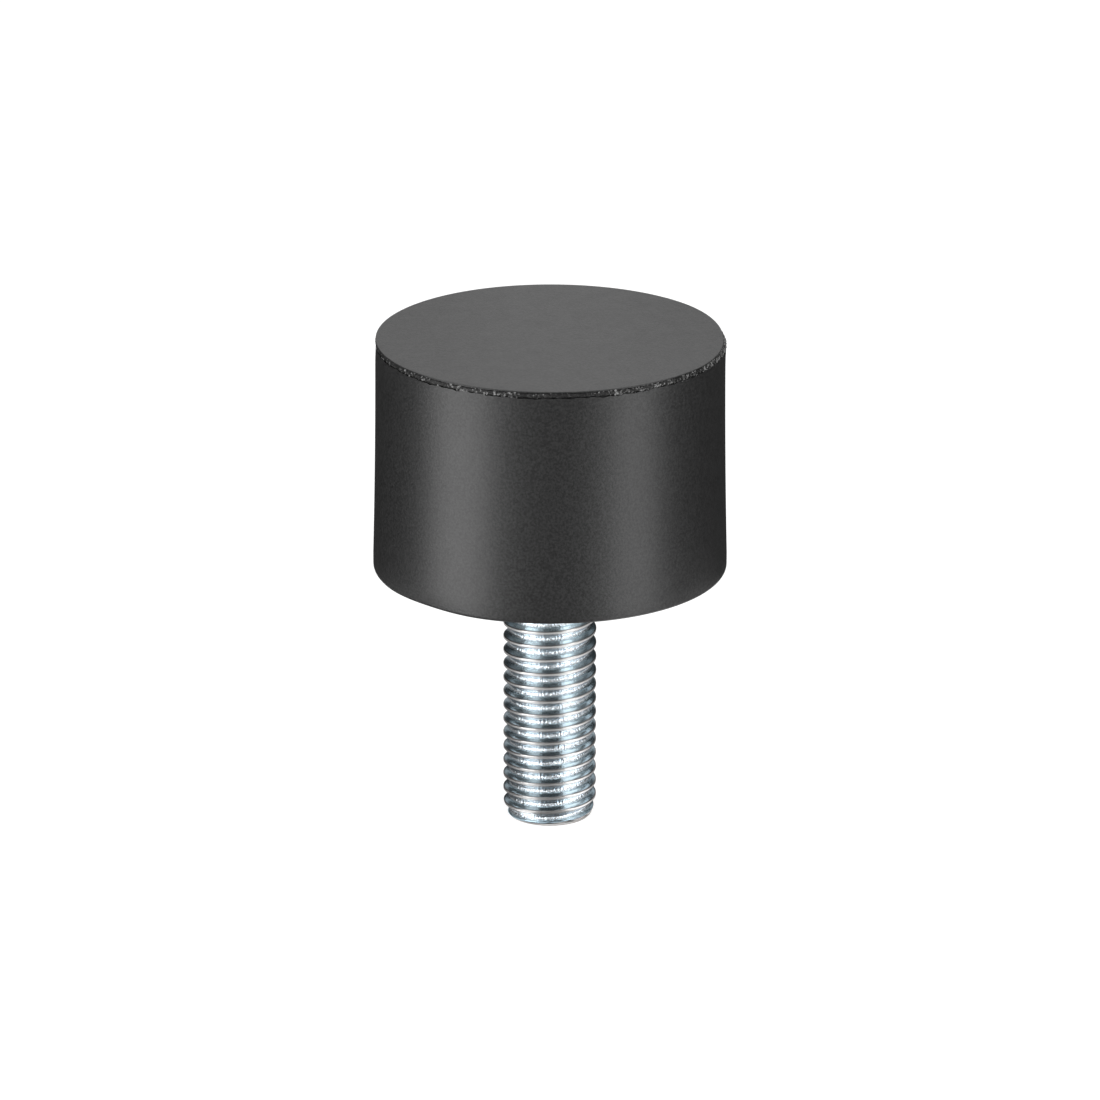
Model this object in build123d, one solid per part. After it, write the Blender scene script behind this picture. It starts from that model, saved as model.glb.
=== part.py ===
from build123d import *
from build123d.topology import SkipClean
from math import ceil, radians, tan
import os

# A round rubber buffer with one threaded stud. The origin is the centre of its underside, where it
# seats on what it is screwed to. +Z runs along the axis to the free rubber face, and the stud
# reaches down along -Z. Lengths are in millimetres and angles in degrees.

# The rubber body
rubber_height = 20.3
edge_cover = 1.0  # rubber round the plate's rim
wall_draw_in = 0.26  # how far the top of the wall lies inside the foot, on the radius
foot_rise = 1.3  # the foot's straight side ends at this height
foot_edge_radius = 0.5

# The lip where the mould's flash was trimmed, round the free face
lip_height = 0.6
lip_overhang = 0.08
lip_bevel = 0.1

# The steel plate, bonded in the underside
plate_diameter = 28.0
plate_thickness = 2.0
plate_edge_radius = 0.4

# The stud's head, bonded in the rubber behind the plate
head_diameter = 13.0
head_height = 1.5
head_edge_radius = 0.3

# The stud's thread, M8 coarse, rolled a little under its nominal diameter
nominal_diameter = 8.0
crest_allowance = 0.14
thread_pitch = 1.25
flank_angle = 60.0
stud_reach = 22.4
tip_taper = 1.2
tip_drop = 0.48
shank_recess = 0.2  # the shank ends this far inside the plate's bore, where the neck begins
neck_relief = 0.03  # how far the neck lies inside the thread's root, on the radius
neck_margin = 0.18  # clear length of neck at each side of the groove's end
groove_start_angle = 167.0

# The groove's cutter stands this far out of the crest
cutter_overlap = 0.1

# The crest is drawn as this many arcs to a turn, each a short face, counted from this angle round
crest_arcs = 8
crest_start_angle = 17.0

# Worked out from the values above
plate_radius = plate_diameter / 2
foot_radius = plate_radius + edge_cover
wall_radius = foot_radius - wall_draw_in
lip_radius = wall_radius + lip_overhang
lip_foot = rubber_height - lip_height

shank_radius = nominal_diameter / 2
crest_radius = shank_radius - crest_allowance / 2
sharp_height = thread_pitch / (2 * tan(radians(flank_angle / 2)))
pitch_radius = shank_radius - sharp_height * 3 / 8
root_radius = shank_radius - sharp_height * 17 / 24
neck_radius = root_radius - neck_relief
cutter_radius = crest_radius + cutter_overlap


def groove_half_width(radius):
    """Half the width of the V groove at this radius."""
    return thread_pitch / 4 + (radius - pitch_radius) * tan(radians(flank_angle / 2))


neck_length = 2 * (groove_half_width(cutter_radius) + neck_margin)


def disc(radius, low, high):
    """A plain disc on the axis between two heights."""
    return Pos(0, 0, low) * Solid.make_cylinder(radius, high - low)


def rounded_disc(radius, low, high, edge_radius):
    """A disc with its upper edge rounded."""
    blank = disc(radius, low, high)
    top_edge = blank.edges().sort_by(Axis.Z)[-1]
    return fillet(top_edge, edge_radius)


def rubber_outline():
    """Half the body's section: the free face, the lip, the hollow wall and the rounded foot."""
    wall_top = (wall_radius, lip_foot)
    foot_top = (foot_radius, foot_rise)
    foot_bottom = (foot_radius, foot_edge_radius)
    underside_edge = (foot_radius - foot_edge_radius, 0)
    with BuildSketch(Plane.XZ) as section:
        with BuildLine():
            Polyline(
                underside_edge,
                (0, 0),
                (0, rubber_height),
                (lip_radius - lip_bevel, rubber_height),
                (lip_radius, rubber_height - lip_bevel),
                (lip_radius, lip_foot),
                wall_top,
            )
            TangentArc(wall_top, foot_top, tangent=(0, -1))
            Line(foot_top, foot_bottom)
            TangentArc(foot_bottom, underside_edge, tangent=(0, -1))
        make_face()
    return section.sketch


def plate_blank():
    """The plate before its bore is made."""
    return rounded_disc(plate_radius, 0, plate_thickness, plate_edge_radius)


def stud_head():
    """The low round head on the plate's inner face."""
    return rounded_disc(head_diameter / 2, plate_thickness, plate_thickness + head_height, head_edge_radius)


def rubber_body():
    """The rubber, moulded round the plate and the stud's head."""
    return revolve(rubber_outline(), Axis.Z) - plate_blank() - stud_head()


def base_plate():
    """The plate with the bore that holds the stud's shank."""
    return plate_blank() - disc(shank_radius, 0, plate_thickness)


def thread_blank():
    """The bar that the thread is cut in, with its tapered tip."""
    step = 360 / crest_arcs
    angles = [crest_start_angle + step * k for k in range(crest_arcs)]
    arcs = [Edge.make_circle(crest_radius, start_angle=a, end_angle=a + step) for a in angles]
    bar = Solid.extrude(Face(Wire(arcs)), Vector(0, 0, neck_length - stud_reach))
    end = bar.faces().sort_by(Axis.Z)[0]
    bar = bar.chamfer(tip_drop, tip_taper, end.edges(), end)
    return bar.moved(Pos(0, 0, -neck_length))


def groove_section():
    """The groove's section, open past the crest."""
    root_half = groove_half_width(root_radius)
    open_half = groove_half_width(cutter_radius)
    with BuildSketch(Plane.XZ) as section:
        with BuildLine():
            Polyline(
                (root_radius, -root_half),
                (cutter_radius, -open_half),
                (cutter_radius, open_half),
                (root_radius, root_half),
                close=True,
            )
        make_face()
    return section.sketch


def groove_turns():
    """The right-hand groove as one-turn lengths, from the neck down past the tip."""
    path = Helix(pitch=thread_pitch, height=thread_pitch, radius=pitch_radius)
    turn = sweep(groove_section(), path=path, is_frenet=True).solid()
    count = ceil((stud_reach - neck_length / 2) / thread_pitch) + 1
    starts = [-neck_length / 2 - thread_pitch * (k + 1) for k in range(count)]
    return [turn.moved(Location((0, 0, z), (0, 0, groove_start_angle))) for z in starts]


def threaded_stud():
    """The stud in one piece: head, shank, neck and thread."""
    shank = disc(shank_radius, shank_recess, plate_thickness)
    neck = disc(neck_radius, -neck_length, shank_recess)
    with SkipClean():
        blank = stud_head().solid().fuse(shank, neck, thread_blank())
        return blank.cut(*groove_turns())


def main():
    """Writes each piece to its own file and prints its size."""
    os.makedirs("parts", exist_ok=True)
    pieces = {
        "rubber_body": rubber_body(),
        "base_plate": base_plate(),
        "threaded_stud": threaded_stud(),
    }
    for name, piece in pieces.items():
        solids = piece.solids()
        export_step(Compound(solids), f"parts/{name}.step")
        print(name, "solids", len(solids), "valid", piece.is_valid, "volume", round(piece.volume, 2))


main()
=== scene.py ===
"""A round rubber buffer with one threaded stud: its looks, light and camera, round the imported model.

The rubber is a satin moulded cylinder with a ragged trimmed lip round its free face. The stud is
zinc-plated steel with a rolled right-hand thread. The steel plate lies in the rubber's underside.
Sizes are in metres in the row's frame: the origin is the centre of the underside and +Z is up.
"""

import logging
import math
from dataclasses import dataclass, field
from enum import Enum

import bmesh
import bpy
from mathutils import Matrix, Vector


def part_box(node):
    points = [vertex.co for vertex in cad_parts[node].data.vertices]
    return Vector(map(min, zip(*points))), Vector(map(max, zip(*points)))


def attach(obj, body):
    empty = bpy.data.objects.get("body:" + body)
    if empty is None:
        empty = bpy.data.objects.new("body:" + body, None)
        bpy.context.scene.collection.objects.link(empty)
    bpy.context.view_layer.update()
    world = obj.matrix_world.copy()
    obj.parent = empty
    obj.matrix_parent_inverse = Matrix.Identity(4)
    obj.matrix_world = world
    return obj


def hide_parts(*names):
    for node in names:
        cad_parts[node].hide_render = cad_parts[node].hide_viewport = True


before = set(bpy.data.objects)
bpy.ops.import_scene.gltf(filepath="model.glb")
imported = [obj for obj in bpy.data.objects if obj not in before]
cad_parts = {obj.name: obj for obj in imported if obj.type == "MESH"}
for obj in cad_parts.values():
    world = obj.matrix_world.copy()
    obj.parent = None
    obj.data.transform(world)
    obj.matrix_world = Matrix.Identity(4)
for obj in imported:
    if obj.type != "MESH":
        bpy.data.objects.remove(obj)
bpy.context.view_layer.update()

MM = 0.001
HAIR = 0.001 * MM
WELD = 1e-7
SPECK = 1e-8
IMAGE_SIZE = 1100
FULL_TURN = 2 * math.pi
WHITE = (1.0, 1.0, 1.0, 1.0)
FLOAT = "NodeSocketFloat"
WHOLE = "NodeSocketInt"
MATERIAL = "NodeSocketMaterial"
GEOMETRY = "NodeSocketGeometry"
LOG = logging.getLogger("rubber_buffer")

Socket = bpy.types.NodeSocket
Surface = bmesh.types.BMesh
Inputs = dict[str | int, object]
Point = tuple[float, float]
Profile = list[Point]
Colour = tuple[float, float, float]
Band = tuple[float, float, float, float]
Heights = list[tuple[Socket, float]]


class Pattern(Enum):
    """The noise patterns of the finishes, each with its name, detail, roughness and upright scale."""

    GRAIN = ("Fine Grain", 5.0, 0.65, 1.0)
    MOTTLE = ("Soft Mottle", 2.0, 0.5, 1.0)
    SCUFF = ("Upright Scuff", 2.0, 0.5, 0.4)


# Helpers for node trees


class TreeWriter:
    """Adds nodes and links to one node tree."""

    def __init__(self, tree: bpy.types.NodeTree) -> None:
        """Keeps the shader or geometry tree that is written to."""
        self.tree = tree

    def feed(self, socket: Socket, value: object) -> None:
        """Links a socket to another one, or sets its plain value.

        Args:
            socket: the input socket.
            value: an output socket, or a plain value.
        """
        if isinstance(value, Socket):
            self.tree.links.new(value, socket)
        else:
            socket.default_value = value

    def set_inputs(self, node: bpy.types.Node, inputs: Inputs) -> None:
        """Feeds several inputs of a node with sockets or plain values, by the input's name or place."""
        for name, value in inputs.items():
            self.feed(node.inputs[name], value)

    def add(self, kind: str, inputs: Inputs | None = None, **settings: object) -> bpy.types.Node:
        """Adds one node.

        Args:
            kind: the node's type name.
            inputs: sockets or plain values, by the input's name or place.
            settings: attributes to set before the inputs.

        Returns:
            The new node.
        """
        node = self.tree.nodes.new(kind)
        for name, value in settings.items():
            setattr(node, name, value)
        self.set_inputs(node, inputs or {})
        return node

    def math(self, operation: str, *values: object) -> Socket:
        """Adds a Math node, fed with sockets or numbers, and returns its output."""
        return self.add("ShaderNodeMath", dict(enumerate(values)), operation=operation).outputs[0]

    def object_place(self) -> Socket:
        """Returns the point's Object coordinates in millimetres."""
        place = self.add("ShaderNodeTexCoord").outputs["Object"]
        return self.add("ShaderNodeVectorMath", {0: place, "Scale": 1 / MM}, operation="SCALE").outputs[0]

    def split(self, vector: Socket) -> tuple[Socket, ...]:
        """Returns a vector's three parts."""
        return tuple(self.add("ShaderNodeSeparateXYZ", {0: vector}).outputs)

    def polar(self, angle: Socket, radius: object, height: object) -> Socket:
        """Gives the place at an angle round the Z axis.

        Args:
            angle: the angle from +X in radians.
            radius: the distance from the axis.
            height: the height.

        Returns:
            The place's socket.
        """
        across = self.math("MULTIPLY", self.math("COSINE", angle), radius)
        along = self.math("MULTIPLY", self.math("SINE", angle), radius)
        return self.add("ShaderNodeCombineXYZ", {"X": across, "Y": along, "Z": height}).outputs[0]

    def smooth_step(self, value: object, low: object, high: object) -> Socket:
        """Returns a value mapped smoothly, from 0 where it is low to 1 where it is high."""
        inputs = {"Value": value, "From Min": low, "From Max": high}
        return self.add("ShaderNodeMapRange", inputs, interpolation_type="SMOOTHSTEP").outputs[0]

    def within(self, value: Socket, band: Band) -> Socket:
        """Masks the values inside a band.

        Args:
            value: the value's socket.
            band: where the band begins, where it is whole, where it begins to fade and where it ends.

        Returns:
            The mask's socket.
        """
        start, full, last, end = band
        rise = self.smooth_step(value, start, full)
        fall = self.smooth_step(value, last, end)
        return self.math("MULTIPLY", rise, self.math("SUBTRACT", 1.0, fall))

    def mix_colour(self, factor: object, first: object, second: object) -> Socket:
        """Mixes two colours.

        Args:
            factor: a socket or number, 0 for the first colour.
            first: a socket or colour.
            second: a socket or colour.

        Returns:
            The output socket.
        """
        node = self.add("ShaderNodeMix", {"Factor": factor}, data_type="RGBA")
        colours = [socket for socket in node.inputs if socket.type == "RGBA"]
        for socket, value in zip(colours, (first, second)):
            self.feed(socket, (*value, 1.0) if isinstance(value, tuple) else value)
        return next(socket for socket in node.outputs if socket.type == "RGBA")

    def seeded_noise(self, place: Socket, seed: Socket, cells_per_mm: float, detail: float) -> Socket:
        """Returns a seeded noise at a place in metres. It runs from 0 to 1, with 0.5 in the middle."""
        inputs = {"Vector": place, "W": seed, "Scale": cells_per_mm / MM, "Detail": detail}
        return self.add("ShaderNodeTexNoise", inputs, noise_dimensions="4D").outputs["Fac"]


class GroupWriter(TreeWriter):
    """Writes a new node group that has named inputs and outputs."""

    def __init__(self, name: str, kind: str, takes: dict[str, str], gives: dict[str, str]) -> None:
        """Makes the group with its input and output nodes.

        Args:
            name: the group's name.
            kind: the tree's type name.
            takes: the inputs' socket types by name.
            gives: the outputs' socket types by name.
        """
        super().__init__(bpy.data.node_groups.new(name, kind))
        self.identifiers: dict[str, str] = {}
        for label, sort in takes.items():
            socket = self.tree.interface.new_socket(name=label, in_out="INPUT", socket_type=sort)
            self.identifiers[label] = socket.identifier
        for label, sort in gives.items():
            self.tree.interface.new_socket(name=label, in_out="OUTPUT", socket_type=sort)
        self.inputs = self.add("NodeGroupInput").outputs
        self.outputs = self.add("NodeGroupOutput").inputs

    def unit_grid(self) -> tuple[Socket, Socket, Socket]:
        """Adds a grid from -0.5 to 0.5 with the group's Columns and Rows.

        Returns:
            The grid's mesh, and its points' X and Y.
        """
        sides = {"Size X": 1.0, "Size Y": 1.0}
        counts = {"Vertices X": self.inputs["Columns"], "Vertices Y": self.inputs["Rows"]}
        grid = self.add("GeometryNodeMeshGrid", sides | counts)
        x, y, _ = self.split(self.point_place())
        return grid.outputs["Mesh"], x, y

    def point_place(self) -> Socket:
        """Returns the place of the point that is worked on."""
        return self.add("GeometryNodeInputPosition").outputs[0]

    def moved(self, geometry: Socket, place: Socket) -> Socket:
        """Returns the geometry with its points moved to new places."""
        return self.add("GeometryNodeSetPosition", {"Geometry": geometry, "Position": place}).outputs[0]

    def evaluated(self, values: dict[str, object]) -> tuple[Surface, list[bpy.types.Material]]:
        """Runs a geometry group once and makes its result a plain surface.

        Args:
            values: the inputs' values by name.

        Returns:
            The surface, and its materials in order.
        """
        carrier = put_in_scene("carrier", bpy.data.meshes.new("carrier"))
        modifier = carrier.modifiers.new("shape", "NODES")
        modifier.node_group = self.tree
        for name, value in values.items():
            modifier[self.identifiers[name]] = value
        graph = bpy.context.evaluated_depsgraph_get()
        mesh = bpy.data.meshes.new_from_object(carrier.evaluated_get(graph))
        carrier.modifiers.remove(modifier)
        surface = bmesh.new()
        surface.from_mesh(mesh)
        materials = list(mesh.materials)
        bpy.data.objects.remove(carrier)
        bpy.data.meshes.remove(mesh)
        return surface, materials


def noise_group(pattern: Pattern) -> bpy.types.NodeTree:
    """Builds or fetches the shader group of one noise pattern, which reads Object coordinates.

    Args:
        pattern: which pattern.

    Returns:
        The node group, with a Cells per mm input and a Height output.
    """
    name, detail, roughness, upright_scale = pattern.value
    known = bpy.data.node_groups.get(name)
    if known is not None:
        return known
    group = GroupWriter(name, "ShaderNodeTree", {"Cells per mm": FLOAT}, {"Height": FLOAT})
    scale = {0: group.object_place(), 1: (1.0, 1.0, upright_scale)}
    place = group.add("ShaderNodeVectorMath", scale, operation="MULTIPLY").outputs[0]
    cells = {"Vector": place, "Scale": group.inputs["Cells per mm"]}
    texture = group.add("ShaderNodeTexNoise", cells | {"Detail": detail, "Roughness": roughness})
    group.feed(group.outputs["Height"], texture.outputs["Fac"])
    return group.tree


def noise_height(writer: TreeWriter, pattern: Pattern, cells_per_mm: float) -> Socket:
    """Places a noise pattern's group in a material and returns its height."""
    node = writer.add("ShaderNodeGroup", {"Cells per mm": cells_per_mm}, node_tree=noise_group(pattern))
    return node.outputs["Height"]


def thread_phase_group() -> bpy.types.NodeTree:
    """Builds the shader group that tells how far a point lies below the thread's crest line.

    Returns:
        The node group. Its Crest Height is a crest's height on the +X side and is in mm, as Pitch and
        Height are. Below Crest runs from 0 at one crest to 1 at the next one down.
    """
    takes = {"Crest Height": FLOAT, "Pitch": FLOAT}
    group = GroupWriter("Thread Phase", "ShaderNodeTree", takes, {"Below Crest": FLOAT, "Height": FLOAT})
    x, y, z = group.split(group.object_place())
    pitch = group.inputs["Pitch"]
    turns = group.math("DIVIDE", group.math("ARCTAN2", y, x), FULL_TURN)
    crest = group.math("ADD", group.inputs["Crest Height"], group.math("MULTIPLY", turns, pitch))
    drop = group.math("DIVIDE", group.math("SUBTRACT", crest, z), pitch)
    group.feed(group.outputs["Below Crest"], group.math("FRACT", drop))
    group.feed(group.outputs["Height"], z)
    return group.tree


def new_material(name: str) -> tuple[bpy.types.Material, TreeWriter, bpy.types.Node]:
    """Makes an empty node material.

    Args:
        name: the material's name.

    Returns:
        The material, its writer and its Principled shader, linked to the output.
    """
    material = bpy.data.materials.new(name)
    material.use_nodes = True
    material.node_tree.nodes.clear()
    writer = TreeWriter(material.node_tree)
    shader = writer.add("ShaderNodeBsdfPrincipled")
    writer.add("ShaderNodeOutputMaterial", {"Surface": shader.outputs["BSDF"]})
    return material, writer, shader


def matt_material(name: str, grey: float) -> tuple[bpy.types.Material, TreeWriter, bpy.types.Node]:
    """Makes a plain matt material whose glow, if it gets one, is white.

    Args:
        name: the material's name.
        grey: how pale it is.

    Returns:
        The material, its writer and its Principled shader.
    """
    material, writer, shader = new_material(name)
    plain = {"Base Color": (grey, grey, grey, 1.0), "Roughness": 1.0, "Specular IOR Level": 0.0}
    writer.set_inputs(shader, plain | {"Emission Color": WHITE})
    return material, writer, shader


def add_bump(writer: TreeWriter, shader: bpy.types.Node, heights: Heights) -> None:
    """Chains bumps into the shader's normal.

    Args:
        writer: the material's writer.
        shader: the shader.
        heights: pairs of a height socket and how deep it reaches, in metres.
    """
    below = {}
    for height, depth in heights:
        node = writer.add("ShaderNodeBump", {"Strength": 1.0, "Distance": depth, "Height": height} | below)
        below = {"Normal": node.outputs["Normal"]}
    writer.set_inputs(shader, below)


# Helpers for meshes


def put_in_scene(name: str, data: bpy.types.ID) -> bpy.types.Object:
    """Makes an object of a mesh, lamp or camera and links it to the scene.

    Args:
        name: the object's name.
        data: the mesh, lamp or camera.

    Returns:
        The new object.
    """
    made = bpy.data.objects.new(name, data)
    bpy.context.scene.collection.objects.link(made)
    return made


def mesh_object(surface: Surface, name: str) -> bpy.types.Object:
    """Makes an object at the origin from a surface, which is freed.

    Args:
        surface: the surface.
        name: the object's name.

    Returns:
        The new object.
    """
    mesh = bpy.data.meshes.new(name)
    surface.to_mesh(mesh)
    surface.free()
    return put_in_scene(name, mesh)


def finished_object(surface: Surface, name: str, sharp_angle: float) -> bpy.types.Object:
    """Welds a surface, turns its faces outwards and makes it a smooth object at the origin.

    Args:
        surface: the surface, which is freed.
        name: the object's name.
        sharp_angle: edges that turn by more degrees than this are drawn sharp.

    Returns:
        The new object.
    """
    bmesh.ops.remove_doubles(surface, verts=surface.verts, dist=WELD)
    bmesh.ops.dissolve_degenerate(surface, edges=surface.edges, dist=SPECK)
    bmesh.ops.recalc_face_normals(surface, faces=surface.faces)
    piece = mesh_object(surface, name)
    piece.data.shade_smooth()
    piece.data.set_sharp_from_angle(angle=math.radians(sharp_angle))
    return piece


def arc_points(centre: Point, radius: float, start: float, end: float, steps: int) -> Profile:
    """Returns an arc of the section. Its angles are in degrees, 0 outwards and 90 upwards."""
    angles = [math.radians(start + (end - start) * k / steps) for k in range(steps + 1)]
    return [(centre[0] + radius * math.cos(a), centre[1] + radius * math.sin(a)) for a in angles]


def rounded_corner(radius: float, height: float, edge: float, steps: int, inwards: bool) -> Profile:
    """Returns an outer upper corner, rounded by edge, from the wall inwards to the face or back."""
    first, last = (0, 90) if inwards else (90, 0)
    return arc_points((radius - edge, height - edge), edge, first, last, steps)


def lathe(profile: Profile, segments: int) -> Surface:
    """Turns a section round the Z axis.

    Args:
        profile: points as radius and height. A radius of 0 makes a pole.
        segments: how many steps the turn has.

    Returns:
        The new surface.
    """
    surface = bmesh.new()
    rings: list[list[bmesh.types.BMVert]] = []
    for radius, height in profile:
        angles = [FULL_TURN * k / segments for k in range(segments if radius > 0 else 1)]
        places = [(radius * math.cos(a), radius * math.sin(a), height) for a in angles]
        rings.append([surface.verts.new(place) for place in places])
    for lower, upper in zip(rings, rings[1:]):
        for k in range(segments):
            following = (k + 1) % segments
            corners = [
                lower[k % len(lower)],
                lower[following % len(lower)],
                upper[following % len(upper)],
                upper[k % len(upper)],
            ]
            unique = list(dict.fromkeys(corners))
            if len(unique) > 2:
                surface.faces.new(unique)
    return surface


def held(share: float) -> float:
    """Returns a share held between 0 and 1 and smoothed at both ends."""
    share = min(max(share, 0.0), 1.0)
    return share * share * (3.0 - 2.0 * share)


# Finishes


@dataclass(frozen=True)
class RubberFinish:
    """Satin black moulded rubber with a fine grain."""

    name: str = "Moulded rubber"
    dark: Colour = (0.0085, 0.0085, 0.0086)
    light: Colour = (0.0275, 0.0275, 0.0277)
    low: float = 0.34
    high: float = 0.66
    roughness: float = 0.39
    roughness_spread: float = 0.06
    specular: float = 0.39
    grain_per_mm: float = 5.0
    grain_depth: float = 0.018 * MM
    mottle_per_mm: float = 0.6
    mottle_depth: float = 0.004 * MM

    def build(self) -> bpy.types.Material:
        """Makes the material.

        Returns:
            The finished material.
        """
        material, writer, shader = new_material(self.name)
        grain = noise_height(writer, Pattern.GRAIN, self.grain_per_mm)
        mottle = noise_height(writer, Pattern.MOTTLE, self.mottle_per_mm)
        paler = writer.smooth_step(grain, self.low, self.high)
        looks = {
            "Base Color": writer.mix_colour(paler, self.dark, self.light),
            "Roughness": writer.math("MULTIPLY_ADD", mottle, self.roughness_spread, self.roughness),
            "Specular IOR Level": self.specular,
        }
        writer.set_inputs(shader, looks)
        add_bump(writer, shader, [(mottle, self.mottle_depth), (grain, self.grain_depth)])
        return material


@dataclass(frozen=True)
class TornRubberFinish:
    """The torn and trimmed edge of the rubber, dull and dark with paler streaks."""

    name: str = "Torn rubber"
    dark: Colour = (0.003, 0.003, 0.003)
    light: Colour = (0.045, 0.045, 0.045)
    low: float = 0.50
    high: float = 0.66
    roughness: float = 0.50
    specular: float = 0.34
    crumb_per_mm: float = 3.0
    crumb_depth: float = 0.06 * MM

    def build(self) -> bpy.types.Material:
        """Makes the material.

        Returns:
            The finished material.
        """
        material, writer, shader = new_material(self.name)
        crumb = noise_height(writer, Pattern.GRAIN, self.crumb_per_mm)
        paler = writer.smooth_step(crumb, self.low, self.high)
        looks = {
            "Base Color": writer.mix_colour(paler, self.dark, self.light),
            "Roughness": self.roughness,
            "Specular IOR Level": self.specular,
        }
        writer.set_inputs(shader, looks)
        add_bump(writer, shader, [(crumb, self.crumb_depth)])
        return material


def crumb_glint_finish() -> TornRubberFinish:
    """Gives the finish of the loose crumbs, paler and shinier than the torn edge; their pale colour is partly
    painted glint.

    Returns:
        The finish.
    """
    return TornRubberFinish(
        name="Rubber crumbs",
        dark=(0.015, 0.015, 0.015),
        # So pale a colour for black rubber is partly painted glint.
        light=(0.260, 0.260, 0.260),
        low=0.42,
        high=0.62,
        roughness=0.34,
        specular=0.6,
    )


@dataclass(frozen=True)
class ZincFinish:
    """Bright zinc plate with small pits and dents and a cloudy blue passivation."""

    name: str = "Plate zinc"
    blue: Colour = (0.47, 0.61, 0.70)
    pale: Colour = (0.80, 0.77, 0.74)
    cloud_per_mm: float = 1.1
    cloud_share: float = 0.5
    roughness: float = 0.13
    roughness_spread: float = 0.12
    pit_per_mm: float = 7.0
    pit_depth: float = 0.003 * MM
    dent_per_mm: float = 5.0
    dent_depth: float = 0.014 * MM

    def build(self) -> bpy.types.Material:
        """Makes the material.

        Returns:
            The finished material.
        """
        material, writer, shader = new_material(self.name)
        pit = noise_height(writer, Pattern.GRAIN, self.pit_per_mm)
        dent = noise_height(writer, Pattern.MOTTLE, self.dent_per_mm)
        rough = writer.math("MULTIPLY_ADD", pit, self.roughness_spread, self.roughness)
        colour, rough, marks = self.surface(writer, rough)
        writer.set_inputs(shader, {"Base Color": colour, "Roughness": rough, "Metallic": 1.0})
        add_bump(writer, shader, [(dent, self.dent_depth), (pit, self.pit_depth), *marks])
        return material

    def surface(self, writer: TreeWriter, rough: Socket) -> tuple[Socket, Socket, Heights]:
        """Adds the nodes of the colour, the roughness and the marks that the finish has of its own.

        Args:
            writer: the material's writer.
            rough: the roughness that the pits give.

        Returns:
            The colour, the roughness, and pairs of a height and how deep it reaches.
        """
        cloud = noise_height(writer, Pattern.MOTTLE, self.cloud_per_mm)
        share = writer.math("MULTIPLY", cloud, self.cloud_share)
        return writer.mix_colour(share, self.pale, self.blue), rough, []


@dataclass(frozen=True)
class ThreadZincFinish(ZincFinish):
    """The thread's zinc: worn crests, painted shade along the crests' edges, scuffed roots with a painted
    bluish-white highlight, and upper flanks tinted blue, partly the passivation and partly painted
    reflection.

    A band's four places are in pitches below a crest, or away from it for the crest and its edges.
    """

    name: str = "Zinc plate"
    worn: Colour = (0.64, 0.635, 0.64)
    # This brownish grey is painted shade along the crests' edges; it also colours the band at the tip's end.
    tan: Colour = (0.30, 0.28, 0.27)
    # The roots' bluish white is a painted highlight.
    root_highlight: Colour = (0.78, 0.85, 0.91)
    pitch_mm: float = 1.25
    crest_height_mm: float = -1.975
    # The flank band's blue is partly the passivation's tint and partly painted reflection.
    flank_reflection_band: Band = (0.60, 0.70, 0.86, 0.95)
    root_highlight_band: Band = (0.30, 0.38, 0.64, 0.74)
    edge_shade_band: Band = (0.06, 0.08, 0.13, 0.17)
    edge_shade_share: float = 0.8
    crest_fades_from: float = 0.04
    crest_fades_to: float = 0.07
    worn_roughness: float = 0.42
    tip_line_mm: float = 0.10
    tip_line_end_mm: float = 0.14
    scuff_per_mm: float = 5.5
    scuff_depth: float = 0.10 * MM

    def surface(self, writer: TreeWriter, rough: Socket) -> tuple[Socket, Socket, Heights]:
        """Adds the nodes of the thread's colour, roughness and scuffs.

        Args:
            writer: the material's writer.
            rough: the roughness that the pits give.

        Returns:
            The colour, the roughness, and pairs of a height and how deep it reaches.
        """
        lead = {"Crest Height": self.crest_height_mm, "Pitch": self.pitch_mm}
        phase = writer.add("ShaderNodeGroup", lead, node_tree=thread_phase_group())
        below = phase.outputs["Below Crest"]
        away = writer.math("ABSOLUTE", writer.math("WRAP", below, 0.5, -0.5))
        # Upper flanks: blue that is partly passivation and partly painted reflection.
        flank = writer.within(below, self.flank_reflection_band)
        # Roots: a painted bluish-white highlight; only the scuffs on them below are real marks.
        root = writer.within(below, self.root_highlight_band)
        # Lines along the crests' edges: painted shade.
        edge = writer.math("MULTIPLY", writer.within(away, self.edge_shade_band), self.edge_shade_share)
        off_crest = writer.smooth_step(away, self.crest_fades_from, self.crest_fades_to)
        crest = writer.math("SUBTRACT", 1.0, off_crest)
        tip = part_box("threaded_stud")[0].z / MM
        above = writer.math("SUBTRACT", phase.outputs["Height"], tip)
        end = writer.smooth_step(above, self.tip_line_end_mm, self.tip_line_mm)
        colour = writer.mix_colour(root, self.pale, self.root_highlight)
        layers = ((flank, self.blue), (edge, self.tan), (crest, self.worn), (end, self.tan))
        for mask, layer in layers:
            colour = writer.mix_colour(mask, colour, layer)
        side = writer.math("SUBTRACT", 1.0, end)
        rougher = writer.math("MULTIPLY", crest, self.worn_roughness - self.roughness)
        rough = writer.math("MULTIPLY_ADD", rougher, side, rough)
        scuff = noise_height(writer, Pattern.SCUFF, self.scuff_per_mm)
        marks = writer.math("MULTIPLY", writer.math("MULTIPLY", scuff, root), side)
        return colour, rough, [(marks, self.scuff_depth)]


# The buffer's sub-assemblies


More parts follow.
